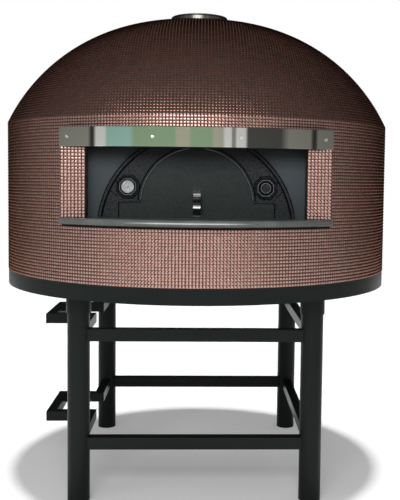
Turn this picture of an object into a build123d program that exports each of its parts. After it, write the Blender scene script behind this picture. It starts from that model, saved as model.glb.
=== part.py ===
from build123d import *

import math
import os

# A round wood-fired pizza oven on a welded stand. Millimetres, +Z up, and the mouth faces -Y.
# The pieces are drawn about the dome's axis. save() then moves them all back a little,
# so that the origin is on the floor under the middle of the whole oven.
# A size called "face" or "front" is a distance forward of the dome's axis, towards -Y.

os.makedirs("parts", exist_ok=True)

# Stand
leg_radius = 42.5
leg_wall = 3.5
leg_inset = 142.24
leg_angle = math.radians(46.98)
foot_thickness = 5.0
socket_wall = 4.0
socket_length = 76.0
cross_rail_size = 46.0
side_rail_size = 40.0
rail_wall = 3.0
lower_rail_height = 225.0
upper_rail_height = 643.0
cradle_reach = 187.0
cradle_length = 342.0
cradle_setback = 37.0

# Floor tray that carries the oven
tray_height = 803.0
ring_height = 59.5
ring_inset = 2.0
ring_wall = 4.0
ring_flange = 36.0
plate_thickness = 6.0
joist_width = 50.0

# Outer drum and dome
drum_radius = 798.0
drum_brim = 43.0
dome_rise = 435.0
crown_radius = 110.0
tile_thickness = 6.0
shell_thickness = 24.0

# Hearth, baking chamber and flue
slab_thickness = 175.5
floor_thickness = 60.0
floor_joint = 1.0
blanket_thickness = 158.0
chamber_wall = 70.0
chamber_side_height = 80.0
chamber_rise = 350.0
throat_wall = 45.0
vault_bricks = 10
vault_foot_angle = 10.0
throat_width_margin = 24.0
flue_radius = 100.0
flue_wall = 3.0
flue_bore = 85.0
collar_radius = 116.0
collar_wall = 3.0
collar_rise = 31.0
collar_flange = 6.0
collar_flange_thickness = 2.0
collar_lip = 3.5

# Portal around the mouth
portal_half_width = 480.0
jamb_width = 87.0
opening_height = 251.0
visor_height = 66.0
recess_depth = 188.0
front_plate_thickness = 10.0
shelf_thickness = 23.0
shelf_overhang = 47.0
shelf_side_lap = 5.0
shelf_end_lap = 4.0
shelf_edge_radius = 8.0
visor_bow = 110.0
visor_overhang = 2.0
visor_thickness = 2.5
visor_lap = 1.0
screw_head_radius = 6.5
screw_head_height = 3.0
screw_head_slope = 20
screw_radius = 3.0
screw_length = 22.0
outer_screw_margin = 28.0
inner_screw_place = 151.0

# Cast arch and its two octagonal bosses
arch_radius = 357.0
arch_centre_drop = 49.0
arch_thickness = 10.0
rib_width = 8.0
rib_rise = 8.0
rib_gap = 3.0
rib_foot_height = 62.0
boss_place = 249.0
boss_rise = 110.0
boss_sides = 8
boss_width = 80.0
boss_thickness = 5.0
boss_border = 6.0
boss_border_rise = 4.0
boss_inner_width = 60.0
boss_inner_rise = 2.5
badge_disc_radius = 19.0
badge_disc_rise = 2.5
petal_count = 8
petal_length = 12.0
petal_width = 6.0
petal_rise = 1.5

# Thermometer
case_radius = 24.5
case_wall = 2.0
case_depth = 12.0
dial_thickness = 1.0
dial_depth = 6.0
glass_thickness = 1.5
glass_depth = 1.5
needle_length = 17.0
needle_tail = 6.0
needle_width = 2.0
needle_thickness = 0.8
needle_lift = 0.8
needle_rest_angle = 206.0
spindle_radius = 1.0
spindle_length = 3.0
stem_radius = 4.0
stem_length = 165.0

# Lift-off door
door_arch_radius = 199.0
door_arch_rise = 48.0
door_half_width = 283.0
door_wing_height = 55.0
door_thickness = 6.0
mouth_overlap = 18.0
handle_width = 26.0
handle_thickness = 4.0
handle_height = 102.0
handle_lift = 3.0
handle_foot = 9.0
handle_tab = 18.0
handle_reach = 40.0
handle_bend = 7.0
grip_plate_width = 30.0
grip_plate_height = 22.0
grip_plate_thickness = 2.5
rivet_radius = 3.0
rivet_head_radius = 5.0
rivet_head_height = 2.0
rivet_spacing = 14.0

# Clearances, and one overrun that serves every cut
seat_gap = 0.3
slide_gap = 0.4
running_gap = 0.3
overrun = 50.0

# Levels, stacked from the tray up
drum_base = tray_height + ring_height
floor_base = drum_base + slab_thickness
hearth_height = floor_base + floor_thickness
opening_top = hearth_height + opening_height
portal_top = opening_top + visor_height
drum_top = portal_top + drum_brim
crown_height = drum_top + dome_rise
boss_height = hearth_height + boss_rise
arch_centre_height = hearth_height - arch_centre_drop
door_arch_height = hearth_height + door_arch_rise

# Radii and distances that follow from the drum's radius
ring_radius = drum_radius - ring_inset
leg_x = (ring_radius - leg_inset) * math.cos(leg_angle)
leg_y = (ring_radius - leg_inset) * math.sin(leg_angle)
shell_radius = drum_radius - tile_thickness
liner_radius = shell_radius - shell_thickness
liner_inset = tile_thickness + shell_thickness
chamber_outer = liner_radius - blanket_thickness
chamber_radius = chamber_outer - chamber_wall
spring_height = hearth_height + chamber_side_height
plate_face = drum_radius - recess_depth
plate_back = plate_face - front_plate_thickness
arch_face = plate_face + arch_thickness
shelf_base = hearth_height - shelf_thickness
door_back = arch_face + slide_gap
door_front = door_back + door_thickness
mouth_half_width = door_half_width - mouth_overlap
visor_back = drum_radius + seat_gap
portal_face = drum_radius - visor_bow
shelf_front = drum_radius + shelf_overhang
shelf_end_depth = portal_face + shelf_end_lap

# Widths that follow from the portal's
opening_half_width = portal_half_width - jamb_width
shelf_half_width = portal_half_width + shelf_side_lap
visor_half_width = portal_half_width + visor_overhang
outer_screw_place = portal_half_width - outer_screw_margin
visor_radius = (portal_half_width**2 + visor_bow**2) / (2 * visor_bow)
axis_setback = (shelf_front - drum_radius) / 2


def tube(outer, inner, bottom, top, x=0, y=0, mode=Mode.ADD):
    """Upright round tube, or a solid rod where the inner radius is zero."""
    with BuildSketch(Plane.XY.offset(bottom)) as ring:
        with Locations((x, y)):
            Circle(outer)
            if inner:
                Circle(inner, mode=Mode.SUBTRACT)
    extrude(ring.sketch, amount=top - bottom, mode=mode)


def block(x_range, y_range, z_range, mode=Mode.ADD):
    """Box between three pairs of limits."""
    with BuildSketch(Plane.XY.offset(z_range[0])) as base:
        with Locations((sum(x_range) / 2, sum(y_range) / 2)):
            Rectangle(x_range[1] - x_range[0], y_range[1] - y_range[0])
    extrude(base.sketch, amount=z_range[1] - z_range[0], mode=mode)


def forward(face, depth, mode=Mode.ADD):
    """Push an upright face towards the front by a depth."""
    extrude(face, amount=depth, dir=(0, -1, 0), mode=mode)


def dome_arc(base_radius, flat_radius, base_height, rise):
    """Centre radius, centre height and radius of the arc from a base to a flat crown."""
    reach = base_radius - flat_radius
    radius = (rise**2 + reach**2) / (2 * rise)
    return flat_radius, base_height + rise - radius, radius


def arc_radius_at(arc, inset, height):
    """Distance of an inset arc from the axis at one height."""
    centre, level, radius = arc
    return centre + math.sqrt((radius - inset) ** 2 - (height - level) ** 2)


def dome_face(arc, base, outer_inset, inner_inset, hole):
    """Half section of a dome between two insets, with a hole of given radius at the crown."""
    centre, level, radius = arc

    def ends(inset):
        start = (arc_radius_at(arc, inset, base), base)
        turn = math.atan2(base - level, start[0] - centre)
        middle_turn = (turn + math.pi / 2) / 2
        middle = (
            centre + (radius - inset) * math.cos(middle_turn),
            level + (radius - inset) * math.sin(middle_turn),
        )
        return start, middle, (centre, level + radius - inset)

    outer_start, outer_middle, outer_end = ends(outer_inset)
    with BuildSketch(Plane.XZ) as face:
        with BuildLine():
            ThreePointArc(outer_start, outer_middle, outer_end)
            if inner_inset is None:
                Polyline(outer_end, (hole, outer_end[1]), (hole, base), outer_start)
            else:
                inner_start, inner_middle, inner_end = ends(inner_inset)
                Polyline(outer_end, (hole, outer_end[1]), (hole, inner_end[1]), inner_end)
                ThreePointArc(inner_end, inner_middle, inner_start)
                Line(inner_start, outer_start)
        make_face()
    return face.sketch


def mouth_face(face_distance, inset):
    """Outline of the door, or of the mouth behind it, drawn in an upright plane."""
    with BuildSketch(Plane.XZ.offset(face_distance)) as face:
        with Locations((0, door_arch_height)):
            Circle(door_arch_radius - inset)
        with Locations((0, hearth_height)):
            Rectangle(2 * (door_half_width - inset), 2 * (door_wing_height - inset))
            Rectangle(
                4 * door_half_width,
                2 * door_arch_radius,
                align=(Align.CENTER, Align.MAX),
                mode=Mode.SUBTRACT,
            )
    return face.sketch


def portal_cut():
    """Clear the portal's space out of a piece of the drum."""
    block(
        (-portal_half_width, portal_half_width),
        (-drum_radius - overrun, -plate_back),
        (shelf_base, portal_top),
        mode=Mode.SUBTRACT,
    )


def stem_bore():
    """Bore for the thermometer's stem through what lies behind the arch."""
    with BuildSketch(Plane.XZ.offset(arch_face)) as bore:
        with Locations((-boss_place, boss_height)):
            Circle(stem_radius + running_gap)
    extrude(bore.sketch, amount=-stem_length - running_gap, mode=Mode.SUBTRACT)


outer_arc = dome_arc(drum_radius, crown_radius, drum_top, dome_rise)
chamber_arc = dome_arc(chamber_radius, crown_radius, spring_height, chamber_rise)
chamber_top = spring_height + chamber_rise + chamber_wall


def save(built, name):
    """Move a finished piece to the whole oven's origin, label it and write it."""
    built.part.move(Location((0, axis_setback, 0)))
    built.part.label = name
    export_step(built.part, f"parts/{name}.step")


# Four tube legs, each in a socket under the tray
leg_places = {
    "front_left": (-leg_x, -leg_y),
    "front_right": (leg_x, -leg_y),
    "rear_left": (-leg_x, leg_y),
    "rear_right": (leg_x, leg_y),
}
for corner, (x, y) in leg_places.items():
    with BuildPart() as leg:
        tube(leg_radius, leg_radius - leg_wall, foot_thickness, tray_height, x, y)
    save(leg, f"{corner}_leg")

with BuildPart() as foot_plates:
    for x, y in leg_places.values():
        tube(leg_radius, 0, 0, foot_thickness, x, y)
save(foot_plates, "foot_plates")

with BuildPart() as leg_sockets:
    bore = leg_radius + seat_gap
    for x, y in leg_places.values():
        tube(bore + socket_wall, bore, tray_height - socket_length, tray_height, x, y)
save(leg_sockets, "leg_sockets")


def rail(name, x_range, y_range, height, size, along):
    """Square tube between two limits, coped to the legs that it meets."""
    half = size / 2
    hollow = half - rail_wall
    level = (height - half, height + half)
    bore_level = (height - hollow, height + hollow)
    with BuildPart() as built:
        block(x_range, y_range, level)
        if along == "x":
            middle = sum(y_range) / 2
            block(x_range, (middle - hollow, middle + hollow), bore_level, mode=Mode.SUBTRACT)
        else:
            middle = sum(x_range) / 2
            block((middle - hollow, middle + hollow), y_range, bore_level, mode=Mode.SUBTRACT)
        for x, y in leg_places.values():
            tube(leg_radius + seat_gap, 0, *level, x, y, mode=Mode.SUBTRACT)
    save(built, name)


cradle_front = cradle_setback - cradle_length / 2
cradle_back = cradle_setback + cradle_length / 2
rail_levels = {"lower": lower_rail_height, "upper": upper_rail_height}
for level_name, height in rail_levels.items():
    half_cross = cross_rail_size / 2
    half_side = side_rail_size / 2
    for end, y in (("front", -leg_y), ("rear", leg_y)):
        rail(
            f"{end}_{level_name}_rail",
            (-leg_x, leg_x),
            (y - half_cross, y + half_cross),
            height,
            cross_rail_size,
            "x",
        )
    right_side = (leg_x - half_side, leg_x + half_side)
    left_side = (-leg_x - half_side, -leg_x + half_side)
    rail(f"right_{level_name}_rail", right_side, (-leg_y, leg_y), height, side_rail_size, "y")
    rail(
        f"left_{level_name}_front_rail",
        left_side,
        (-leg_y, cradle_front),
        height,
        side_rail_size,
        "y",
    )
    rail(
        f"left_{level_name}_rear_rail",
        left_side,
        (cradle_back, leg_y),
        height,
        side_rail_size,
        "y",
    )

    # Square loop that steps out of the left side, open towards the stand
    with BuildPart() as cradle:
        level = (height - half_side, height + half_side)
        outside = -leg_x - cradle_reach
        inside = left_side[1]
        block((outside, inside), (cradle_front, cradle_back), level)
        block(
            (outside + side_rail_size, inside),
            (cradle_front + side_rail_size, cradle_back - side_rail_size),
            level,
            mode=Mode.SUBTRACT,
        )
    save(cradle, f"left_{level_name}_cradle")

# Tray: rolled ring with a flange, floor plate and joists
with BuildPart() as base_ring:
    tube(ring_radius, ring_radius - ring_wall, tray_height, drum_base)
    tube(ring_radius, ring_radius - ring_flange, drum_base - ring_wall, drum_base)
save(base_ring, "base_ring")

plate_top = tray_height + plate_thickness
with BuildPart() as base_plate:
    tube(ring_radius - ring_wall, 0, tray_height, plate_top)
save(base_plate, "base_plate")

with BuildPart() as tray_joists:
    half_joist = joist_width / 2
    reach = ring_radius - ring_flange - seat_gap
    end_y = math.sqrt(reach**2 - (leg_x + half_joist) ** 2)
    ring_end_x = math.sqrt(reach**2 - (leg_y + half_joist) ** 2)
    end_x = min(ring_end_x, leg_x - half_joist - seat_gap)
    rise = (plate_top, drum_base)
    for side in (-1, 1):
        block((side * leg_x - half_joist, side * leg_x + half_joist), (-end_y, end_y), rise)
        block((-end_x, end_x), (side * leg_y - half_joist, side * leg_y + half_joist), rise)
save(tray_joists, "tray_joists")

# Insulating slab, and the baking floor in four quarters with a tongue to the mouth
with BuildPart() as base_slab:
    tube(liner_radius - seat_gap, 0, drum_base, floor_base)
save(base_slab, "base_slab")

tongue_half_width = mouth_half_width + throat_width_margin
with BuildPart() as hearth_tiles:
    tube(chamber_outer, 0, floor_base, hearth_height)
    block(
        (-tongue_half_width, tongue_half_width),
        (-plate_back, 0),
        (floor_base, hearth_height),
    )
    block(
        (-chamber_outer, chamber_outer),
        (-chamber_outer - overrun, -plate_back),
        (floor_base, hearth_height),
        mode=Mode.SUBTRACT,
    )
    half_joint = floor_joint / 2
    span = (-chamber_outer - overrun, chamber_outer + overrun)
    block((-half_joint, half_joint), span, (floor_base, hearth_height), mode=Mode.SUBTRACT)
    block(span, (-half_joint, half_joint), (floor_base, hearth_height), mode=Mode.SUBTRACT)
save(hearth_tiles, "hearth_tiles")

# Refractory chamber with its mouth and the flue bore in the crown
spring_outer = arc_radius_at(chamber_arc, -chamber_wall, spring_height)
spring_clear = arc_radius_at(chamber_arc, -chamber_wall - seat_gap, spring_height)
with BuildPart() as oven_chamber:
    tube(spring_outer, chamber_radius, hearth_height, spring_height)
    dome = dome_face(chamber_arc, spring_height, -chamber_wall, 0, flue_bore)
    revolve(dome, axis=Axis.Z)
    block(
        (-spring_outer, spring_outer),
        (-spring_outer - overrun, -plate_back),
        (hearth_height, chamber_top),
        mode=Mode.SUBTRACT,
    )
    forward(mouth_face(0, mouth_overlap), plate_face, mode=Mode.SUBTRACT)
    stem_bore()
save(oven_chamber, "oven_chamber")

# Short vault of refractory arch bricks that joins the chamber to the front plate
vault_centre_radius = door_arch_radius - mouth_overlap + throat_wall / 2
vault_angle = 180 - 2 * vault_foot_angle
with BuildPart() as mouth_vault:
    forward(mouth_face(chamber_radius / 2, mouth_overlap - throat_wall), plate_back - chamber_radius / 2)
    forward(mouth_face(0, mouth_overlap), plate_face, mode=Mode.SUBTRACT)
    tube(spring_clear, 0, hearth_height, spring_height, mode=Mode.SUBTRACT)
    dome = dome_face(chamber_arc, spring_height, -chamber_wall - seat_gap, None, 0)
    revolve(dome, axis=Axis.Z, mode=Mode.SUBTRACT)
    stem_bore()
    with BuildSketch(Plane.XZ) as joints:
        with Locations((0, door_arch_height)):
            with PolarLocations(
                vault_centre_radius, vault_bricks + 1, vault_foot_angle, vault_angle, endpoint=True
            ):
                Rectangle(2 * throat_wall, seat_gap)
        for side in (-1, 1):
            with Locations((side * (mouth_half_width + seat_gap / 2), hearth_height)):
                Rectangle(seat_gap, 2 * (door_wing_height + throat_wall))
    forward(joints.sketch, plate_face, mode=Mode.SUBTRACT)
save(mouth_vault, "mouth_vault")

# Fibre blanket that fills the space between the chamber and the outer shell
with BuildPart() as dome_insulation:
    tube(liner_radius - seat_gap, 0, floor_base, drum_top)
    dome = dome_face(outer_arc, drum_top, liner_inset + seat_gap, None, 0)
    revolve(dome, axis=Axis.Z)
    tube(spring_clear, 0, floor_base, spring_height, mode=Mode.SUBTRACT)
    dome = dome_face(chamber_arc, spring_height, -chamber_wall - seat_gap, None, 0)
    revolve(dome, axis=Axis.Z, mode=Mode.SUBTRACT)
    tube(flue_radius + flue_wall + seat_gap, 0, spring_height, crown_height, mode=Mode.SUBTRACT)
    forward(mouth_face(0, mouth_overlap - throat_wall - seat_gap), plate_face, mode=Mode.SUBTRACT)
    block(
        (-tongue_half_width - seat_gap, tongue_half_width + seat_gap),
        (-plate_back, 0),
        (floor_base, hearth_height),
        mode=Mode.SUBTRACT,
    )
    portal_cut()
    stem_bore()
save(dome_insulation, "dome_insulation")

# Outer drum wall, dome and their mosaic skins, opened for the portal and the flue
with BuildPart() as drum_shell:
    tube(shell_radius, liner_radius, drum_base, drum_top)
    portal_cut()
save(drum_shell, "drum_shell")

with BuildPart() as drum_mosaic:
    tube(drum_radius, shell_radius, drum_base, drum_top)
    portal_cut()
save(drum_mosaic, "drum_mosaic")

collar_bore = collar_radius + seat_gap
with BuildPart() as dome_shell:
    revolve(dome_face(outer_arc, drum_top, tile_thickness, liner_inset, 0), axis=Axis.Z)
    tube(collar_bore, 0, drum_top, crown_height, mode=Mode.SUBTRACT)
save(dome_shell, "dome_shell")

with BuildPart() as dome_mosaic:
    revolve(dome_face(outer_arc, drum_top, 0, tile_thickness, 0), axis=Axis.Z)
    tube(collar_bore, 0, drum_top, crown_height, mode=Mode.SUBTRACT)
save(dome_mosaic, "dome_mosaic")

# Flue pipe that stands on the chamber's crown, and the steel collar round its end
collar_top = crown_height + collar_rise
with BuildPart() as flue_pipe:
    tube(flue_radius + flue_wall, flue_radius, chamber_top, collar_top - collar_wall)
save(flue_pipe, "flue_pipe")

with BuildPart() as flue_collar:
    collar_inner = collar_radius - collar_wall
    tube(collar_radius, collar_inner, crown_height - liner_inset, collar_top - collar_lip)
    tube(
        collar_radius + collar_flange,
        collar_inner,
        crown_height,
        crown_height + collar_flange_thickness,
    )
    with BuildSketch(Plane.XZ) as lip:
        with Locations((collar_radius, collar_top - collar_lip)):
            Circle(collar_lip)
    revolve(lip.sketch, axis=Axis.Z)
    inner_flange = flue_radius + flue_wall + seat_gap
    tube(
        collar_radius - collar_wall / 2,
        inner_flange,
        crown_height - liner_inset,
        crown_height - liner_inset + collar_flange_thickness,
    )
save(flue_collar, "flue_collar")

# Jambs each side of the opening, their mosaic, and the lintel over them
core_face = portal_face - tile_thickness
core_half_width = portal_half_width - tile_thickness
for side, name in ((-1, "left"), (1, "right")):
    inner = side * opening_half_width
    with BuildPart() as jamb:
        block(
            sorted((inner, side * core_half_width)),
            (-core_face, -plate_back),
            (shelf_base, opening_top),
        )
    save(jamb, f"{name}_jamb")

    with BuildPart() as jamb_mosaic:
        block(
            sorted((inner, side * portal_half_width)),
            (-portal_face, -core_face),
            (hearth_height, opening_top),
        )
        block(
            sorted((side * core_half_width, side * portal_half_width)),
            (-core_face, -plate_back),
            (hearth_height, opening_top),
        )
    save(jamb_mosaic, f"{name}_jamb_mosaic")

visor_centre_y = visor_radius - visor_back


def visor_ring(outer, inner, bottom, top):
    """Part of a ring about the visor's centre, within the portal's width."""
    with BuildSketch(Plane.XY.offset(bottom)) as plan:
        with Locations((0, visor_centre_y)):
            Circle(outer)
            if inner:
                Circle(inner, mode=Mode.SUBTRACT)
    extrude(plan.sketch, amount=top - bottom)


def screw_plane(place, lift):
    """Plane on the visor at one screw, facing out along the ring's radius."""
    turn = math.asin(place / visor_radius)
    out = Vector(math.sin(turn), -math.cos(turn), 0)
    level = (portal_top + opening_top) / 2
    origin = Vector(0, visor_centre_y, level) + out * (visor_radius + lift)
    return Plane(origin=origin, x_dir=(math.cos(turn), math.sin(turn), 0), z_dir=out)


screw_places = (-outer_screw_place, -inner_screw_place, inner_screw_place, outer_screw_place)


def screw_bores(gap):
    """Holes for the visor's four screws."""
    for place in screw_places:
        with BuildSketch(screw_plane(place, visor_thickness + seat_gap)) as bore:
            Circle(screw_radius + gap)
        extrude(bore.sketch, amount=-screw_length - visor_thickness, mode=Mode.SUBTRACT)


with BuildPart() as lintel:
    visor_ring(visor_radius - seat_gap, 0, opening_top, portal_top)
    with BuildSketch(Plane.XY.offset(opening_top)) as keep:
        with Locations((0, -plate_back)):
            Rectangle(2 * portal_half_width, 2 * portal_face, align=(Align.CENTER, Align.MAX))
    extrude(keep.sketch, amount=portal_top - opening_top, mode=Mode.INTERSECT)
    screw_bores(running_gap / 2)
save(lintel, "lintel")

with BuildPart() as visor:
    low = opening_top - visor_lap
    high = portal_top + visor_lap
    visor_ring(visor_radius + visor_thickness, visor_radius, low, high)
    with BuildSketch(Plane.XY.offset(low)) as keep:
        with Locations((0, -plate_back)):
            Rectangle(2 * visor_half_width, 2 * portal_face, align=(Align.CENTER, Align.MAX))
    extrude(keep.sketch, amount=high - low, mode=Mode.INTERSECT)
    screw_bores(running_gap / 2)
save(visor, "visor")

with BuildPart() as visor_screws:
    for place in screw_places:
        with BuildSketch(screw_plane(place, visor_thickness)) as head:
            Circle(screw_head_radius)
        extrude(head.sketch, amount=screw_head_height, taper=screw_head_slope)
        with BuildSketch(screw_plane(place, visor_thickness)) as shank:
            Circle(screw_radius)
        extrude(shank.sketch, amount=-screw_length)
save(visor_screws, "visor_screws")

# Stone shelf: a bowed front outside the portal, and a straight part that runs in to the arch
with BuildPart() as hearth_shelf:
    with BuildSketch(Plane.XY.offset(shelf_base)) as plan:
        with BuildLine():
            ThreePointArc(
                (-shelf_half_width, -shelf_end_depth),
                (0, -shelf_front),
                (shelf_half_width, -shelf_end_depth),
            )
            Polyline(
                (shelf_half_width, -shelf_end_depth),
                (shelf_half_width, -core_face),
                (-shelf_half_width, -core_face),
                (-shelf_half_width, -shelf_end_depth),
            )
        make_face()
    extrude(plan.sketch, amount=shelf_thickness)
    front_arcs = edges().filter_by(GeomType.CIRCLE)
    fillet(front_arcs, shelf_edge_radius)
    block(
        (-opening_half_width + seat_gap, opening_half_width - seat_gap),
        (-core_face, -plate_back),
        (shelf_base, hearth_height),
    )
save(hearth_shelf, "hearth_shelf")

# Steel front plate and the cast arch on it
with BuildPart() as front_plate:
    block(
        (-opening_half_width, opening_half_width),
        (-plate_face, -plate_back),
        (hearth_height, opening_top),
    )
    forward(mouth_face(plate_back - overrun, mouth_overlap), 2 * overrun, mode=Mode.SUBTRACT)
    stem_bore()
save(front_plate, "front_plate")

rib_inner = door_arch_radius + rib_gap
rib_foot = hearth_height + rib_foot_height


def upright_ring(face_distance, outer, inner, centre_height, floor):
    """Arched band in an upright plane, kept within the jambs, a floor and the lintel."""
    with BuildSketch(Plane.XZ.offset(face_distance)) as band:
        with Locations((0, centre_height)):
            Circle(outer)
            if inner:
                Circle(inner, mode=Mode.SUBTRACT)
        with Locations((0, (floor + opening_top) / 2)):
            Rectangle(2 * opening_half_width, opening_top - floor, mode=Mode.INTERSECT)
    return band.sketch


with BuildPart() as cast_arch:
    band = upright_ring(plate_face, arch_radius, 0, arch_centre_height, hearth_height)
    forward(band, arch_thickness)
    outer_rib = upright_ring(
        arch_face, arch_radius, arch_radius - rib_width, arch_centre_height, hearth_height
    )
    forward(outer_rib, rib_rise)
    inner_rib = upright_ring(arch_face, rib_inner + rib_width, rib_inner, door_arch_height, rib_foot)
    forward(inner_rib, rib_rise)
    forward(mouth_face(plate_face - overrun, mouth_overlap), 2 * overrun, mode=Mode.SUBTRACT)
    stem_bore()
save(cast_arch, "cast_arch")


def octagon(width, mode=Mode.ADD):
    """Octagon of a width across flats, with a flat at the top."""
    half_turn = 180 / boss_sides
    RegularPolygon(width / 2, boss_sides, major_radius=False, rotation=half_turn, mode=mode)


def boss(x, centre_bore):
    """Octagonal plate with a raised border and an inner step."""
    with BuildSketch(Plane.XZ.offset(arch_face)) as plate:
        with Locations((x, boss_height)):
            octagon(boss_width)
            if centre_bore:
                Circle(centre_bore, mode=Mode.SUBTRACT)
    forward(plate.sketch, boss_thickness)
    face = arch_face + boss_thickness
    with BuildSketch(Plane.XZ.offset(face)) as border:
        with Locations((x, boss_height)):
            octagon(boss_width)
            octagon(boss_width - 2 * boss_border, mode=Mode.SUBTRACT)
    forward(border.sketch, boss_border_rise)
    with BuildSketch(Plane.XZ.offset(face)) as step:
        with Locations((x, boss_height)):
            octagon(boss_inner_width)
            octagon(boss_inner_width - boss_border, mode=Mode.SUBTRACT)
    forward(step.sketch, boss_inner_rise)


with BuildPart() as thermometer_boss:
    boss(-boss_place, case_radius + running_gap)
save(thermometer_boss, "thermometer_boss")

with BuildPart() as badge_boss:
    boss(boss_place, 0)
    face = arch_face + boss_thickness
    with BuildSketch(Plane.XZ.offset(face)) as disc:
        with Locations((boss_place, boss_height)):
            Circle(badge_disc_radius)
            Circle(badge_disc_radius - petal_width / 2, mode=Mode.SUBTRACT)
    forward(disc.sketch, badge_disc_rise)
    with BuildSketch(Plane.XZ.offset(face)) as petals:
        with Locations((boss_place, boss_height)):
            with PolarLocations(petal_length / 2, petal_count):
                Ellipse(petal_length / 2, petal_width / 2)
    forward(petals.sketch, petal_rise)
save(badge_boss, "badge_boss")

# Thermometer: stem, case, dial, needle on its spindle, and glass
case_front = arch_face + case_depth


def disc(front, radius, thickness, mode=Mode.ADD):
    """Round disc of the thermometer, with its front face at a distance from the axis."""
    with BuildSketch(Plane.XZ.offset(front - thickness)) as plan:
        with Locations((-boss_place, boss_height)):
            Circle(radius)
    forward(plan.sketch, thickness, mode=mode)


dial_front = case_front - dial_depth
case_bore = case_radius - case_wall
with BuildPart() as thermometer_case:
    disc(case_front, case_radius, case_depth)
    disc(case_front, case_bore, dial_depth + dial_thickness, mode=Mode.SUBTRACT)
    disc(dial_front, spindle_radius + running_gap, spindle_length, mode=Mode.SUBTRACT)
save(thermometer_case, "thermometer_case")

with BuildPart() as thermometer_stem:
    disc(arch_face, stem_radius, stem_length)
save(thermometer_stem, "thermometer_stem")

with BuildPart() as thermometer_dial:
    disc(dial_front, case_bore - seat_gap, dial_thickness)
    disc(dial_front, spindle_radius + running_gap, dial_thickness, mode=Mode.SUBTRACT)
save(thermometer_dial, "thermometer_dial")

needle_front = dial_front + needle_lift + needle_thickness
with BuildPart() as thermometer_needle:
    disc(needle_front, needle_width, needle_thickness)
    disc(needle_front, spindle_radius, needle_thickness + needle_lift + spindle_length - running_gap)
    with BuildSketch(Plane.XZ.offset(needle_front - needle_thickness)) as pointer:
        with Locations(Location((-boss_place, boss_height), needle_rest_angle)):
            Polygon(
                (-needle_tail, -needle_width / 2),
                (needle_length, 0),
                (-needle_tail, needle_width / 2),
                align=None,
            )
    forward(pointer.sketch, needle_thickness)
save(thermometer_needle, "thermometer_needle")

with BuildPart() as thermometer_glass:
    disc(case_front - glass_depth + glass_thickness / 2, case_bore - seat_gap, glass_thickness)
save(thermometer_glass, "thermometer_glass")

# Door: plate, grip plate, waved strap handle, and two rivets through all three
handle_base = hearth_height + handle_lift
handle_top = handle_base + handle_height
grip_centre = handle_top - handle_tab / 2
grip_face = door_front + grip_plate_thickness
strap_face = grip_face + handle_thickness


def rivet_shanks(radius, mode=Mode.ADD):
    """The rivets' two round shanks, or the bores that they sit in."""
    with BuildSketch(Plane.XZ.offset(door_back)) as shanks:
        with Locations((-rivet_spacing / 2, grip_centre), (rivet_spacing / 2, grip_centre)):
            Circle(radius)
    forward(shanks.sketch, strap_face - door_back, mode=mode)


with BuildPart() as door_panel:
    panel = mouth_face(door_back, 0)
    forward(panel, door_thickness)
    block(
        (-door_half_width - overrun, door_half_width + overrun),
        (-door_front - overrun, -door_back + overrun),
        (hearth_height - overrun, hearth_height + slide_gap),
        mode=Mode.SUBTRACT,
    )
    rivet_shanks(rivet_radius + running_gap / 2, mode=Mode.SUBTRACT)
save(door_panel, "door_panel")

with BuildPart() as grip_plate:
    with BuildSketch(Plane.XZ.offset(door_front)) as plate:
        with Locations((0, grip_centre)):
            Rectangle(grip_plate_width, grip_plate_height)
    forward(plate.sketch, grip_plate_thickness)
    rivet_shanks(rivet_radius + running_gap / 2, mode=Mode.SUBTRACT)
save(grip_plate, "grip_plate")

# The strap's centre line in the YZ plane. Its bends are shares of the handle's height and reach.
bend_shares = ((0.78, 0.0), (0.68, 1.0), (0.5, 0.35), (0.34, 1.0))
strap_mid = grip_face + handle_thickness / 2
foot_mid = door_front + handle_thickness / 2
with BuildPart() as door_handle:
    path = [(-strap_mid, handle_top)]
    for height, reach in bend_shares:
        path.append((-strap_mid - reach * handle_reach, handle_base + height * handle_height))
    path.append((-foot_mid, handle_base + handle_foot))
    path.append((-foot_mid, handle_base))
    with BuildSketch(Plane.YZ.offset(-handle_width / 2)) as strap:
        with BuildLine() as line:
            FilletPolyline(*path, radius=handle_bend)
        trace(line.line, line_width=handle_thickness)
    extrude(strap.sketch, amount=handle_width)
    rivet_shanks(rivet_radius + running_gap / 2, mode=Mode.SUBTRACT)
save(door_handle, "door_handle")

with BuildPart() as grip_rivets:
    rivet_shanks(rivet_radius)
    with BuildSketch(Plane.XZ.offset(strap_face)) as heads:
        with Locations((-rivet_spacing / 2, grip_centre), (rivet_spacing / 2, grip_centre)):
            Circle(rivet_head_radius)
    forward(heads.sketch, rivet_head_height)
save(grip_rivets, "grip_rivets")
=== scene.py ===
# %% [markdown]
# A pizza oven under a skin of glass mosaic, on a black tube stand. The construction comes from
# the frame, at its real size, so this file only dresses it. It lays the mosaic tile by tile,
# shapes the trim that the frame leaves plain, and gives every piece its finish. Everything is in
# metres, and a piece is made where it stands, never moved afterwards.

# %% Load the frame
import math
import random

import bmesh
import bpy
from mathutils import Matrix, Vector


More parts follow.
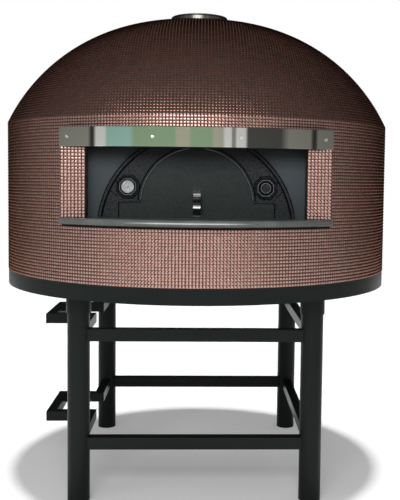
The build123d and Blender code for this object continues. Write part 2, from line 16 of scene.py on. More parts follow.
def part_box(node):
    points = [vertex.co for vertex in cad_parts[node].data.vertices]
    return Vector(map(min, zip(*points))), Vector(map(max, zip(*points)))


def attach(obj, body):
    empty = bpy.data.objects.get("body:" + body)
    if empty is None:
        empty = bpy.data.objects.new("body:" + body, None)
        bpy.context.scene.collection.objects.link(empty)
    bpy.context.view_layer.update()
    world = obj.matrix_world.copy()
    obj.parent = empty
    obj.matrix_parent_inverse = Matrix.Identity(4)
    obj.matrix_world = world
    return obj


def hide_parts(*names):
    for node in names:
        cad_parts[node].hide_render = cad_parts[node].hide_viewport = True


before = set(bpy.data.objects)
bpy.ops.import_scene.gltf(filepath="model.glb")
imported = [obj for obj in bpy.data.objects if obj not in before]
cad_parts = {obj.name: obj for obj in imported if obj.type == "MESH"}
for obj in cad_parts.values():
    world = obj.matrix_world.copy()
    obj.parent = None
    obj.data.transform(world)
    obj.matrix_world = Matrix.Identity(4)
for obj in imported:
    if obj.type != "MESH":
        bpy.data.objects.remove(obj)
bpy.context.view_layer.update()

# %% [markdown]
# The frame's boxes give the places that the new pieces need. The oven stands a little behind the
# origin, because the shelf reaches out at the front, so the dome's axis has a Y of its own. The
# dome's profile is one arc, which ends at a small flat crown under the flue collar. Its radius
# follows from how high and how far in the arc goes.

# %% Places read from the frame
drum_low, drum_high = (Vector(corner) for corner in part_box("drum_mosaic"))
crown_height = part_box("dome_mosaic")[1][2]
axis = Vector((0, (drum_low.y + drum_high.y) / 2, 0))
drum_radius = drum_high.x
crown_radius = 0.110
dome_rise = crown_height - drum_high.z
dome_reach = drum_radius - crown_radius
dome_bend = (dome_rise**2 + dome_reach**2) / (2 * dome_rise)
dome_level = crown_height - dome_bend
print("drum radius", round(drum_radius, 4), "axis at y", round(axis.y, 4))

# %% [markdown]
# The camera comes early, so that each piece can be judged as soon as it is made. A photograph
# that was cropped off centre keeps its perspective only if the lens is shifted by the same
# amount, which is why the two shifts are not zero. The turn is given as a heading, a dip below
# the horizon and a small roll, each about one axis.

# %% Camera
image_height = 500
focal_pixels = 838.9
sensor_width = 36.0
camera_place = Vector((0.021, axis.y - 3.659, 1.2526))
heading = math.radians(2.297)
dip = math.radians(3.822)
roll = math.radians(0.694)
image_centre = Vector((200, 250))
lens_centre = Vector((235.98, 231.6))

camera = bpy.data.objects.new("Camera", bpy.data.cameras.new("Camera"))
bpy.context.scene.collection.objects.link(camera)
camera.data.sensor_width = sensor_width
camera.data.lens = focal_pixels * sensor_width / image_height
camera.data.shift_x = (image_centre.x - lens_centre.x) / image_height
camera.data.shift_y = (lens_centre.y - image_centre.y) / image_height
camera.matrix_world = (
    Matrix.Translation(camera_place)
    @ Matrix.Rotation(-heading, 4, "Z")
    @ Matrix.Rotation(math.pi / 2 - dip, 4, "X")
    @ Matrix.Rotation(roll, 4, "Z")
)
bpy.context.scene.camera = camera
print("lens", round(camera.data.lens, 2), "mm")

# %% [markdown]
# Most finishes here share one build. A broad, soft noise mixes two close shades, so that no
# surface is one flat colour, the same noise varies the gloss a little, and a fine noise raises a
# grain in the normals. All of it reads Object coordinates, which stay with the piece when it
# moves. Numbers that are the same all over go straight onto the shader.

# %% Material helpers
def noise(tree, scale, stretch=(1, 1, 1), detail=3.0):
    """Noise on Object coordinates, stretched along the axes by a mapping."""
    place = tree.nodes.new("ShaderNodeTexCoord")
    mapping = tree.nodes.new("ShaderNodeMapping")
    mapping.inputs["Scale"].default_value = stretch
    grain = tree.nodes.new("ShaderNodeTexNoise")
    grain.inputs["Scale"].default_value = scale
    grain.inputs["Detail"].default_value = detail
    tree.links.new(place.outputs["Object"], mapping.inputs["Vector"])
    tree.links.new(mapping.outputs["Vector"], grain.inputs["Vector"])
    return grain.outputs["Fac"]


def ramp(tree, factor, stops):
    """Colour ramp through (position, colour) stops."""
    node = tree.nodes.new("ShaderNodeValToRGB")
    elements = node.color_ramp.elements
    elements.remove(elements[1])
    for number, (position, color) in enumerate(stops):
        element = elements[0] if number == 0 else elements.new(position)
        element.position = position
        element.color = (*color, 1)
    tree.links.new(factor, node.inputs["Fac"])
    return node.outputs["Color"]


def grey_ramp(tree, factor, levels):
    """Neutral ramp through (position, level) stops."""
    return ramp(tree, factor, [(position, (level,) * 3) for position, level in levels])


def between(tree, factor, low, high):
    """The middle of a noise's range, mapped onto a range of numbers."""
    node = tree.nodes.new("ShaderNodeMapRange")
    for name, value in (("From Min", 0.3), ("From Max", 0.7), ("To Min", low), ("To Max", high)):
        node.inputs[name].default_value = value
    tree.links.new(factor, node.inputs["Value"])
    return node.outputs["Result"]


def raise_grain(tree, shader, height, depth):
    """Bump from a height signal, at a real depth in metres."""
    bump = tree.nodes.new("ShaderNodeBump")
    bump.inputs["Strength"].default_value = 1.0
    bump.inputs["Distance"].default_value = depth
    tree.links.new(height, bump.inputs["Height"])
    tree.links.new(bump.outputs["Normal"], shader.inputs["Normal"])


def blank(name, **fixed):
    """New material with some of its shader's sockets set. Returns it, its tree and its shader."""
    material = bpy.data.materials.new(name)
    material.use_nodes = True
    shader = material.node_tree.nodes["Principled BSDF"]
    for socket, value in fixed.items():
        shader.inputs[socket.replace("_", " ")].default_value = value
    return material, material.node_tree, shader


def along(tree, direction, low, high):
    """Object coordinate along X, Y or Z, as zero at one place and one at another."""
    place = tree.nodes.new("ShaderNodeTexCoord")
    parts = tree.nodes.new("ShaderNodeSeparateXYZ")
    span = tree.nodes.new("ShaderNodeMapRange")
    span.inputs["From Min"].default_value = low
    span.inputs["From Max"].default_value = high
    tree.links.new(place.outputs["Object"], parts.inputs["Vector"])
    tree.links.new(parts.outputs[direction], span.inputs["Value"])
    return span.outputs["Result"]


def multiplied(tree, first, second):
    """Product of two colours."""
    blend = tree.nodes.new("ShaderNodeMix")
    blend.data_type = "RGBA"
    blend.blend_type = "MULTIPLY"
    blend.inputs["Factor"].default_value = 1.0
    tree.links.new(first, blend.inputs["A"])
    tree.links.new(second, blend.inputs["B"])
    return blend.outputs["Result"]


def faded(tree, factor, color, other):
    """A colour that gives way to a fixed one as a factor rises."""
    blend = tree.nodes.new("ShaderNodeMix")
    blend.data_type = "RGBA"
    tree.links.new(factor, blend.inputs["Factor"])
    tree.links.new(color, blend.inputs["A"])
    blend.inputs["B"].default_value = (*other, 1)
    return blend.outputs["Result"]


def finish(name, dark, light, patch, rough, grain, depth, stretch=(1, 1, 1), **fixed):
    """Two shades in soft patches, gloss that varies with them, and a fine raised grain."""
    material, tree, shader = blank(name, **fixed)
    patches = noise(tree, patch, stretch)
    tree.links.new(ramp(tree, patches, ((0.3, dark), (0.7, light))), shader.inputs["Base Color"])
    tree.links.new(between(tree, patches, *rough), shader.inputs["Roughness"])
    raise_grain(tree, shader, noise(tree, grain, stretch), depth)
    return material


def dress(material, *nodes):
    """Gives a material to carried-over nodes of the frame."""
    for node in nodes:
        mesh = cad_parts[node].data
        mesh.materials.clear()
        mesh.materials.append(material)


# %% [markdown]
# The stand and the tray carry one black satin coating. Real powder coat is never pure black and
# has a slight orange-peel skin, which spreads the long highlights on the round legs. A dark grey
# with a broad gloss and a shallow, fine bump gives both. Its mirror part is weak, so that the
# sides of the rails stay dark where they are seen at a slant.

# %% Stand and tray
coating = finish(
    "black coating", (0.0090, 0.0118, 0.0105), (0.0125, 0.0158, 0.0142),
    patch=3.0, rough=(0.30, 0.40), grain=420.0, depth=0.0001, Specular_IOR_Level=0.08,
)
stand_nodes = ["front_left_leg", "front_right_leg", "rear_left_leg", "rear_right_leg"]
stand_nodes += ["foot_plates", "leg_sockets", "base_ring", "base_plate", "tray_joists"]
for level in ("lower", "upper"):
    stand_nodes += [f"{side}_{level}_rail" for side in ("front", "rear", "right")]
    stand_nodes += [f"left_{level}_{end}" for end in ("front_rail", "rear_rail", "cradle")]
dress(coating, *stand_nodes)
print("coated", len(stand_nodes), "nodes")

# %% [markdown]
# New pieces start as a bmesh. One helper turns a bmesh into an object and lets it ride on its
# body. Another puts a bmesh in an order that follows from its places alone. A spin makes its parts
# in an order that can vary from run to run, and a random draw per face would then fall on other
# faces each time.

# %% Piece helper
def settle(bm):
    """Sorts verts, edges and faces by where they are, so that each run has them in one order."""

    def middle(part):
        points = [part.co] if isinstance(part, bmesh.types.BMVert) else [v.co for v in part.verts]
        centre = sum(points, Vector()) / len(points)
        return tuple(round(value, 6) for value in centre)

    for parts in (bm.verts, bm.edges, bm.faces):
        for rank, part in enumerate(sorted(parts, key=middle)):
            part.index = rank
        parts.sort()


def piece_from(bm, name, body, slot, materials, *replaced):
    """Object at the origin from a bmesh, riding on a body and standing for some nodes."""
    mesh = bpy.data.meshes.new(name)
    bm.to_mesh(mesh)
    bm.free()
    for material in materials:
        mesh.materials.append(material)
    piece = bpy.data.objects.new(name, mesh)
    bpy.context.scene.collection.objects.link(piece)
    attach(piece, body)
    if replaced:
        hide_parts(*replaced)
    print(name, "triangles", sum(len(face.vertices) - 2 for face in mesh.polygons))
    return piece


# %% [markdown]
# The mosaic is what the eye rests on, so each tile is real geometry and not a pattern. A sheet of
# plain squares, one per tile, is wrapped onto the drum. Insetting every square on its own and
# lifting it a little makes the tile and the joint round it. A second inset gives it a soft
# shoulder, and poking the face that is left pushes its middle out, so that each tile has a glint
# of its own. Two attributes are stored for the glass to read: tone, one number per tile, and
# glint_mark, which is one at a tile's middle and zero elsewhere, and places a painted glint there.
# Each tile also leans a little, as hand-pressed sheets do, so that the glints differ.

# %% Tile sizes and the tile maker
tile_pitch = 0.012
joint_half_width = 0.0010
joint_depth = 0.0006
shoulder_width = 0.0013
shoulder_rise = 0.0008
tile_crown = 0.0006
tile_lean = 0.008
sheet_inset = joint_depth + shoulder_rise + tile_crown + tile_lean * tile_pitch
chance = random.Random(7)


def lay_tiles(bm):
    """Turns every square of a sheet into a domed tile with a joint round it."""
    tone = bm.faces.layers.float.new("tone")
    glint_mark = bm.verts.layers.float.new("glint_mark")
    squares = list(bm.faces)
    for square in squares:
        square[tone] = chance.random()
    rims = bmesh.ops.inset_individual(
        bm, faces=squares, thickness=joint_half_width, depth=joint_depth, use_even_offset=True
    )["faces"]
    for rim in rims:
        rim.material_index = 1
    for square in squares:
        middle = square.calc_center_median()
        lean = Vector(chance.uniform(-tile_lean, tile_lean) for turn in range(3))
        for vert in square.verts:
            vert.co += square.normal * lean.dot(vert.co - middle)
        for edge in square.edges:
            edge.smooth = False
    shoulders = bmesh.ops.inset_individual(
        bm, faces=squares, thickness=shoulder_width, depth=shoulder_rise, use_even_offset=True
    )["faces"]
    crowns = bmesh.ops.poke(bm, faces=squares, offset=tile_crown)
    # The poked middles are marked for the painted glint.
    for vert in crowns["verts"]:
        vert[glint_mark] = 1.0
    for face in shoulders + crowns["faces"]:
        face.smooth = True


def turn_outwards(bm, outwards):
    """Reverses a sheet whose faces look the wrong way. outwards gives the right way at a point."""
    bm.normal_update()
    first = next(iter(bm.faces))
    if first.normal.dot(outwards(first.calc_center_median())) < 0:
        bmesh.ops.reverse_faces(bm, faces=bm.faces)
    bm.normal_update()


def from_dome(point):
    """Direction away from the middle of the dome."""
    return Vector((point.x, point.y - axis.y, point.z - dome_level))


# %% [markdown]
# The glass is a brown maroon with a metal back, so its shader is all metal with a dark edge tint.
# That keeps its colour at a slant, where plain glass would turn white. Its shade comes from the
# tile's own number, and a soft noise adds drifts over many tiles. Each tile's middle gets a
# painted glint, a pale colour that fades out towards the tile's edge. The joints are a dark
# cement grout.

# %% Glass and grout
drift_scale = 2.2
glint_mark_edges = (0.05, 0.55)
painted_glint = (0.53, 0.41, 0.37)

glass, tree, shader = blank(
    "maroon glass",
    Metallic=1.0,
    Roughness=0.24,
    Specular_Tint=(0.35, 0.25, 0.20, 1),
)
own = tree.nodes.new("ShaderNodeAttribute")
own.attribute_name = "tone"
shades = (
    (0.0, (0.275, 0.143, 0.113)),
    (0.5, (0.308, 0.166, 0.134)),
    (1.0, (0.345, 0.196, 0.162)),
)
shade = ramp(tree, own.outputs["Fac"], shades)
drift = ramp(tree, noise(tree, drift_scale), ((0.3, (0.93, 0.93, 0.94)), (0.7, (1.0, 1.0, 1.0))))
# Painted glint: the glass turns pale at each tile's middle, where glint_mark is one.
depth = tree.nodes.new("ShaderNodeAttribute")
depth.attribute_name = "glint_mark"
clear = tree.nodes.new("ShaderNodeMapRange")
clear.interpolation_type = "SMOOTHSTEP"
clear.inputs["From Min"].default_value, clear.inputs["From Max"].default_value = glint_mark_edges
tree.links.new(depth.outputs["Fac"], clear.inputs["Value"])
color = faded(tree, clear.outputs["Result"], multiplied(tree, shade, drift), painted_glint)
tree.links.new(color, shader.inputs["Base Color"])
grout = finish(
    "dark grout", (0.060, 0.028, 0.021), (0.090, 0.044, 0.034),
    patch=30.0, rough=(0.8, 0.95), grain=900.0, depth=0.0002, Specular_IOR_Level=0.1,
)
print("glass nodes", len(tree.nodes))

# %% [markdown]
# A line of points spun round the axis, one step per tile, wraps the sheet. Each half turn of the
# drum starts at the middle of the front, so that the columns fall the same way on both sides and
# a joint meets each side of the portal. The rows are spaced so that a joint meets the portal's
# top. The squares inside the portal are deleted before the tiles are laid, and the sheet's free
# edges are turned in, so that no gap shows behind them. A spin of nearly a full turn or more
# closes on itself.

# %% Drum mosaic
portal_half_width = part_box("left_jamb_mosaic")[0][0] * -1
portal_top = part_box("lintel")[1][2]
shelf_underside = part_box("hearth_shelf")[0][2]
half_columns = 209
portal_columns = round(math.asin(portal_half_width / drum_radius) * half_columns / math.pi)
portal_rows = 46
brim_rows = 4
backing_depth = 0.004
nearly_full_turn = 2 * math.pi - 0.001


def spin_rows(bm, outline, angle, steps):
    """Spins a line of (radius, height) points round the axis, from the middle of the front."""
    verts = [bm.verts.new((0, axis.y - radius, height)) for radius, height in outline]
    edges = [bm.edges.new(pair) for pair in zip(verts, verts[1:])]
    bmesh.ops.spin(
        bm,
        geom=verts + edges,
        cent=axis,
        axis=(0, 0, 1),
        angle=angle,
        steps=steps,
        use_merge=abs(angle) > nearly_full_turn,
    )


def row_of(height):
    """How many rows up a height is."""
    return (height - drum_low.z) / (portal_top - drum_low.z) * portal_rows


def in_portal(face):
    """Whether a square lies inside the portal's opening in the drum."""
    middle = face.calc_center_median()
    column = math.atan2(abs(middle.x), axis.y - middle.y) * half_columns / math.pi
    low_row = math.ceil(row_of(shelf_underside))
    return column < portal_columns and low_row < row_of(middle.z) < portal_rows


def turn_in_edges(bm):
    """Carries a sheet's free edges inwards, as the edge of a real tile sheet has depth."""
    free = [edge for edge in bm.edges if edge.is_boundary]
    made = bmesh.ops.extrude_edge_only(bm, edges=free)["geom"]
    for part in made:
        if isinstance(part, bmesh.types.BMVert):
            out = from_dome(part.co)
            if part.co.z < drum_high.z:
                out.z = 0
            part.co -= out.normalized() * backing_depth
        if isinstance(part, bmesh.types.BMFace):
            part.material_index = 1


sheet_radius = drum_radius - sheet_inset
to_portal_top = portal_top - drum_low.z
to_brim = drum_high.z - portal_top
levels = [drum_low.z + to_portal_top * row / portal_rows for row in range(portal_rows)]
levels += [portal_top + to_brim * row / brim_rows for row in range(brim_rows + 1)]
for turn, side in ((-math.pi, "left"), (math.pi, "right")):
    bm = bmesh.new()
    spin_rows(bm, [(sheet_radius, level) for level in levels], turn, half_columns)
    bmesh.ops.delete(bm, geom=[face for face in bm.faces if in_portal(face)], context="FACES")
    settle(bm)
    turn_outwards(bm, from_dome)
    lay_tiles(bm)
    turn_in_edges(bm)
    replaced = ("drum_mosaic",) if side == "left" else ()
    piece_from(bm, f"drum_tiles_{side}", "oven", "mosaic", (glass, grout), *replaced)
print("columns in the portal", 2 * portal_columns, "of", 2 * half_columns)

# %% [markdown]
# Over the dome the rings shrink, and a tile keeps its size, so each ring gets its own count of
# tiles. That is how tilers lay a dome: ring by ring from the brim to the flue, each cut to close
# on itself. Every ring is a single short edge spun a full turn.

# %% Dome mosaic
collar_gap = 0.116
brim_angle = math.acos(dome_reach / dome_bend)
top_angle = math.acos((collar_gap - crown_radius) / dome_bend)
ring_count = round(dome_bend * (top_angle - brim_angle) / tile_pitch)
lower_rings = 26
sheet_bend = dome_bend - sheet_inset


def on_dome(ring):
    """The (radius, height) of the joint below a ring."""
    angle = brim_angle + (top_angle - brim_angle) * ring / ring_count
    return crown_radius + sheet_bend * math.cos(angle), dome_level + sheet_bend * math.sin(angle)


scratch = bpy.data.meshes.new("ring")
for name, rings in (("lower", range(lower_rings)), ("upper", range(lower_rings, ring_count))):
    bm = bmesh.new()
    for ring in rings:
        ends = on_dome(ring), on_dome(ring + 1)
        tiles = round(math.pi * (ends[0][0] + ends[1][0]) / tile_pitch)
        one = bmesh.new()
        spin_rows(one, ends, 2 * math.pi, tiles)
        one.to_mesh(scratch)
        one.free()
        bm.from_mesh(scratch)
    turn_outwards(bm, from_dome)
    lay_tiles(bm)
    replaced = ("dome_mosaic",) if name == "lower" else ()
    piece_from(bm, f"dome_tiles_{name}", "oven", "mosaic", (glass, grout), *replaced)
bpy.data.meshes.remove(scratch)
print("rings on the dome", ring_count)

# %% [markdown]
# The jambs either side of the mouth are flat, and stand a little proud of the drum. Each has a
# front panel of seven columns and a narrow return on its outer side. A grid operator makes the
# squares, and a matrix built from the two directions across and up stands it in place. The
# masonry behind the tiles and the lintel over the mouth get a dark paint.

# %% Jamb mosaic
jamb_columns = 7
jamb_rows = 21
return_columns = 5


def tile_panel(bm, corner, across, up, columns, rows):
    """Flat sheet of squares from a corner, facing across x up, set in by the height of a tile."""
    out = across.cross(up).normalized()
    place = Matrix((across, up, out)).transposed().to_4x4()
    place.translation = corner + (across + up) / 2 - out * sheet_inset
    bmesh.ops.create_grid(bm, x_segments=columns, y_segments=rows, size=0.5, matrix=place)


for side in ("left", "right"):
    low, high = (Vector(corner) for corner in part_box(f"{side}_jamb_mosaic"))
    bm = bmesh.new()
    width = Vector((high.x - low.x, 0, 0))
    height = Vector((0, 0, high.z - low.z))
    depth = Vector((0, return_columns * tile_pitch, 0))
    tile_panel(bm, low, width, height, jamb_columns, jamb_rows)
    if side == "left":
        tile_panel(bm, low + depth, -depth, height, return_columns, jamb_rows)
    else:
        tile_panel(bm, low + width, depth, height, return_columns, jamb_rows)
    bm.normal_update()
    lay_tiles(bm)
    piece_from(bm, f"{side}_jamb_tiles", "oven", "mosaic", (glass, grout), f"{side}_jamb_mosaic")

portal_paint = finish(
    "portal paint", (0.016, 0.015, 0.014), (0.028, 0.026, 0.024),
    patch=6.0, rough=(0.5, 0.65), grain=300.0, depth=0.0001,
)
dress(portal_paint, "left_jamb", "right_jamb", "lintel")

# %% [markdown]
# Over the mouth a strip of bright steel bends out with the drum. Its section, a thin plate with
# softened edges, is spun about a centre behind the oven, through the small angle that the portal
# spans, in enough steps that the reflection runs smoothly along it. Edges that turn by more than
# sharp_turn are kept sharp, because the flat front has to keep its own normals beside the
# softened edges, or it would mirror the wrong part of the studio.

# %% Visor strip
visor_low, visor_high = (Vector(corner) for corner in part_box("visor"))
visor_thickness = 0.0025
visor_sag = visor_high.y - visor_low.y - visor_thickness
visor_bend = (visor_high.x**2 + visor_sag**2) / (2 * visor_sag)
visor_centre = Vector((0, visor_low.y + visor_thickness + visor_bend, 0))
visor_sweep = 2 * math.asin(visor_high.x / (visor_bend + visor_thickness))
visor_steps = 96
edge_round = 0.0008
sharp_turn = math.radians(12)

bm = bmesh.new()
middle = (0, visor_low.y + visor_thickness / 2, (visor_low.z + visor_high.z) / 2)
size = (1, visor_thickness, visor_high.z - visor_low.z, 1)
place = Matrix.Translation(middle) @ Matrix.Diagonal(size) @ Matrix.Rotation(math.pi / 2, 4, "Y")
bmesh.ops.create_grid(bm, x_segments=1, y_segments=1, size=0.5, matrix=place)
bmesh.ops.bevel(
    bm,
    geom=list(bm.verts),
    offset=edge_round,
    offset_type="OFFSET",
    segments=3,
    profile=0.5,
    affect="VERTICES",
    material=-1,
)
bmesh.ops.rotate(
    bm, verts=bm.verts, cent=visor_centre, matrix=Matrix.Rotation(-visor_sweep / 2, 3, "Z")
)
bmesh.ops.spin(
    bm,
    geom=list(bm.verts) + list(bm.edges) + list(bm.faces),
    cent=visor_centre,
    axis=(0, 0, 1),
    angle=visor_sweep,
    steps=visor_steps,
    use_merge=False,
)
settle(bm)
bmesh.ops.recalc_face_normals(bm, faces=bm.faces)
for face in bm.faces:
    face.smooth = True
for edge in bm.edges:
    edge.smooth = edge.calc_face_angle(0) < sharp_turn
print("visor strip faces", len(bm.faces))

# %% [markdown]
# A polished strip like this mirrors whatever stands in front of the oven, such as a garden and the
# posts of a porch, as upright bands. There is nothing here to mirror, so a painted reflection of
# such bands, in seven shades, is laid along its length. A ramp that has a stop at each end of
# every band blends softly from one to the next.

# %% Visor bands
# Painted reflection: each shade stands for something mirrored in the strip.
reflected_post = (0.74, 0.75, 0.70)
reflected_grey = (0.29, 0.29, 0.25)
reflected_dark_line = (0.05, 0.05, 0.045)
reflected_pond = (0.34, 0.54, 0.47)
reflected_leaves = (0.29, 0.41, 0.25)
reflected_straw = (0.44, 0.44, 0.33)
reflected_gloom = (0.08, 0.083, 0.075)
painted_reflection_bands = (
    (0.00, 0.11, reflected_grey),
    (0.12, 0.13, reflected_dark_line),
    (0.14, 0.17, reflected_post),
    (0.18, 0.26, reflected_pond),
    (0.28, 0.42, reflected_leaves),
    (0.43, 0.47, reflected_straw),
    (0.48, 0.55, reflected_leaves),
    (0.56, 0.59, reflected_straw),
    (0.60, 0.62, reflected_post),
    (0.625, 0.635, reflected_grey),
    (0.64, 0.67, reflected_post),
    (0.68, 0.80, reflected_gloom),
    (0.83, 0.91, reflected_grey),
    (0.92, 0.93, reflected_dark_line),
    (0.94, 1.00, reflected_grey),
)
stops = [(end, color) for first, last, color in painted_reflection_bands for end in (first, last)]
visor_steel, tree, shader = blank("visor steel", Metallic=1.0, Roughness=0.08)
length = along(tree, "X", visor_low.x, visor_high.x)
tree.links.new(ramp(tree, length, stops), shader.inputs["Base Color"])
raise_grain(tree, shader, noise(tree, 600.0, stretch=(0.02, 0.02, 1)), 0.00001)
piece_from(bm, "visor_strip", "oven", "visor_steel", (visor_steel,), "visor")
screw_steel = finish(
    "screw steel", (0.50, 0.50, 0.47), (0.75, 0.75, 0.70),
    patch=200.0, rough=(0.25, 0.35), grain=900.0, depth=0.00005, Metallic=1.0,
)
dress(screw_steel, "visor_screws")

# %% [markdown]
# The shelf is a slab of dark green-grey stone, honed on top, with an eased front edge. Stone shows
# grain at more than one scale, so a coarse noise makes clouds, a much finer one makes crystals,
# and the two are mixed before they drive the colour. The front edge gets a painted shade by
# height, darkest underneath, and a painted highlight runs along its middle and fades out towards
# both ends.

# %% Stone shelf
painted_highlight = (0.50, 0.54, 0.53)
crystal_share = 0.45

shelf_low, shelf_high = (Vector(corner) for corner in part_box("hearth_shelf"))
stone, tree, shader = blank("shelf stone", Specular_IOR_Level=0.5)
crystals = noise(tree, 260.0, detail=5.0)
mix = tree.nodes.new("ShaderNodeMix")
mix.inputs["Factor"].default_value = crystal_share
tree.links.new(noise(tree, 9.0), mix.inputs["A"])
tree.links.new(crystals, mix.inputs["B"])
shades = (
    (0.30, (0.050, 0.058, 0.054)),
    (0.50, (0.085, 0.096, 0.090)),
    (0.62, (0.125, 0.138, 0.130)),
    (0.75, (0.21, 0.225, 0.21)),
)
up = along(tree, "Z", shelf_low.z, shelf_high.z)
across = along(tree, "X", shelf_low.x, shelf_high.x)
# Painted shade on the front edge, darkest underneath.
painted_shade_levels = ((0.00, 0.12), (0.14, 0.50), (0.35, 0.85), (0.48, 1.0), (0.66, 1.0), (0.98, 0.90))
painted_edge_shade = grey_ramp(tree, up, painted_shade_levels)
# Painted highlight along the middle of the front edge, fading towards both ends.
highlight_up = grey_ramp(tree, up, ((0.46, 0), (0.52, 1), (0.62, 1), (0.68, 0)))
highlight_across = grey_ramp(tree, across, ((0.24, 0), (0.36, 1), (0.60, 1), (0.70, 0)))
highlight_mask = tree.nodes.new("ShaderNodeMath")
highlight_mask.operation = "MULTIPLY"
tree.links.new(highlight_up, highlight_mask.inputs[0])
tree.links.new(highlight_across, highlight_mask.inputs[1])
shaded = multiplied(tree, ramp(tree, mix.outputs["Result"], shades), painted_edge_shade)
color = faded(tree, highlight_mask.outputs[0], shaded, painted_highlight)
tree.links.new(color, shader.inputs["Base Color"])
tree.links.new(between(tree, crystals, 0.26, 0.40), shader.inputs["Roughness"])
raise_grain(tree, shader, crystals, 0.00008)
dress(stone, "hearth_shelf")
print("stone nodes", len(tree.nodes))

# %% [markdown]
# A dark joint of sealant closes the gap between the shelf and the tiles under it, and it is also a
# painted shadow of the shelf on those tiles. Its section is a small rectangle, spun about the
# drum's axis over nearly the shelf's width. The helper makes a bar with two ends or, over a full
# turn, a closed ring, and serves again for the arch.

# %% Dark joint and painted shadow under the shelf
shadow_joint_height = 0.0085
shadow_joint_depth = 0.006
shadow_joint_top = shelf_low.z - 0.0005
shadow_joint_outer = drum_radius - 0.00005
shadow_joint_reach = math.asin(shelf_high.x * 0.996 / drum_radius)


def spin_section(bm, corners, centre, about, angle, steps):
    """Spins a closed section about an axis, into a bar with ends or a closed ring."""
    closed = angle > nearly_full_turn
    verts = [bm.verts.new(corner) for corner in corners]
    section = [bm.edges.new(pair) for pair in zip(verts, verts[1:] + verts[:1])]
    if not closed:
        section.append(bm.faces.new(verts))
    bmesh.ops.spin(
        bm,
        geom=verts + section,
        cent=centre,
        axis=about,
        angle=angle,
        steps=steps,
        use_merge=closed,
    )


bm = bmesh.new()
lean = Matrix.Rotation(-shadow_joint_reach, 3, "Z")
corners = [
    axis + lean @ Vector((0, -radius, height))
    for radius, height in (
        (shadow_joint_outer - shadow_joint_depth, shadow_joint_top - shadow_joint_height),
        (shadow_joint_outer, shadow_joint_top - shadow_joint_height),
        (shadow_joint_outer, shadow_joint_top),
        (shadow_joint_outer - shadow_joint_depth, shadow_joint_top),
    )
]
spin_section(bm, corners, axis, (0, 0, 1), 2 * shadow_joint_reach, 72)
settle(bm)
bmesh.ops.recalc_face_normals(bm, faces=bm.faces)
# A dark joint that is also the painted shadow under the shelf.
shadow_joint_paint = finish(
    "dark joint and painted shadow", (0.004, 0.003, 0.003), (0.010, 0.007, 0.006),
    patch=80.0, rough=(0.6, 0.75), grain=500.0, depth=0.00005, Specular_IOR_Level=0.1,
)
piece_from(bm, "shelf_shadow_joint", "oven", "mosaic", (shadow_joint_paint,))

# %% [markdown]
# The mouth's steel plate has a smooth blue-grey enamel. The arch, its two bosses and the door are
# castings and pressings under a hammered paint, whose small round dimples catch the light. A
# smooth cell pattern has that dimple shape, so it drives both the bump and a painted highlight,
# paler in the dimples. All of them also get a painted shade that darkens them towards the lintel,
# where the visor shades the mouth.

# %% Front plate, arch and door
lintel_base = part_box("lintel")[0][2]
lintel_shade_reach = 0.1
lintel_shade_levels = ((0.20, 1.0), (0.50, 0.75), (0.80, 0.28), (1.0, 0.08))


def shaded_towards_lintel(tree, shader):
    """Darkens a finish towards the lintel, as painted shade under the visor."""
    own_color = shader.inputs["Base Color"].links[0].from_socket
    up = along(tree, "Z", lintel_base - lintel_shade_reach, lintel_base)
    lintel_shaded = multiplied(tree, own_color, grey_ramp(tree, up, lintel_shade_levels))
    tree.links.new(lintel_shaded, shader.inputs["Base Color"])


plate_paint = finish(
    "plate enamel", (0.050, 0.064, 0.069), (0.063, 0.080, 0.086),
    patch=5.0, rough=(0.40, 0.52), grain=500.0, depth=0.00005, Specular_IOR_Level=0.15,
)
tree = plate_paint.node_tree
shaded_towards_lintel(tree, tree.nodes["Principled BSDF"])
dress(plate_paint, "front_plate")


def hammered(name, dark, light, dimple, depth, rough):
    """Hammered paint: dimples and a painted highlight from a smooth cell pattern, and patchy
    gloss.
    """
    material, tree, shader = blank(name, Specular_IOR_Level=0.15)
    patches = noise(tree, 14.0)
    tree.links.new(between(tree, patches, *rough), shader.inputs["Roughness"])
    place = tree.nodes.new("ShaderNodeTexCoord")
    cells = tree.nodes.new("ShaderNodeTexVoronoi")
    cells.feature = "SMOOTH_F1"
    cells.inputs["Scale"].default_value = 1 / dimple
    tree.links.new(place.outputs["Object"], cells.inputs["Vector"])
    # Painted highlight: paler in the dimples, darker at their borders.
    shade = ramp(tree, cells.outputs["Distance"], ((0.25, light), (0.75, dark)))
    tree.links.new(shade, shader.inputs["Base Color"])
    shaded_towards_lintel(tree, shader)
    raise_grain(tree, shader, cells.outputs["Distance"], depth)
    return material


arch_iron = hammered(
    "arch iron", (0.003, 0.004, 0.005), (0.024, 0.028, 0.031),
    dimple=0.006, depth=0.0014, rough=(0.36, 0.5),
)
dress(arch_iron, "cast_arch", "thermometer_boss", "badge_boss")
door_steel = hammered(
    "door steel", (0.015, 0.021, 0.020), (0.021, 0.028, 0.027),
    dimple=0.009, depth=0.0003, rough=(0.38, 0.5),
)
dress(door_steel, "door_panel")

# %% [markdown]
# A cast arch shows its ribs because the corners beside them are dark and their crests pale. Both
# are laid on as thin bands: painted shadow in the corners, and on the crests a pale band that is
# wear and painted highlight both. An arc is spun about the arch's own centre, once for each side,
# a boss gets eight-sided ones, and a box serves for the straight ones.

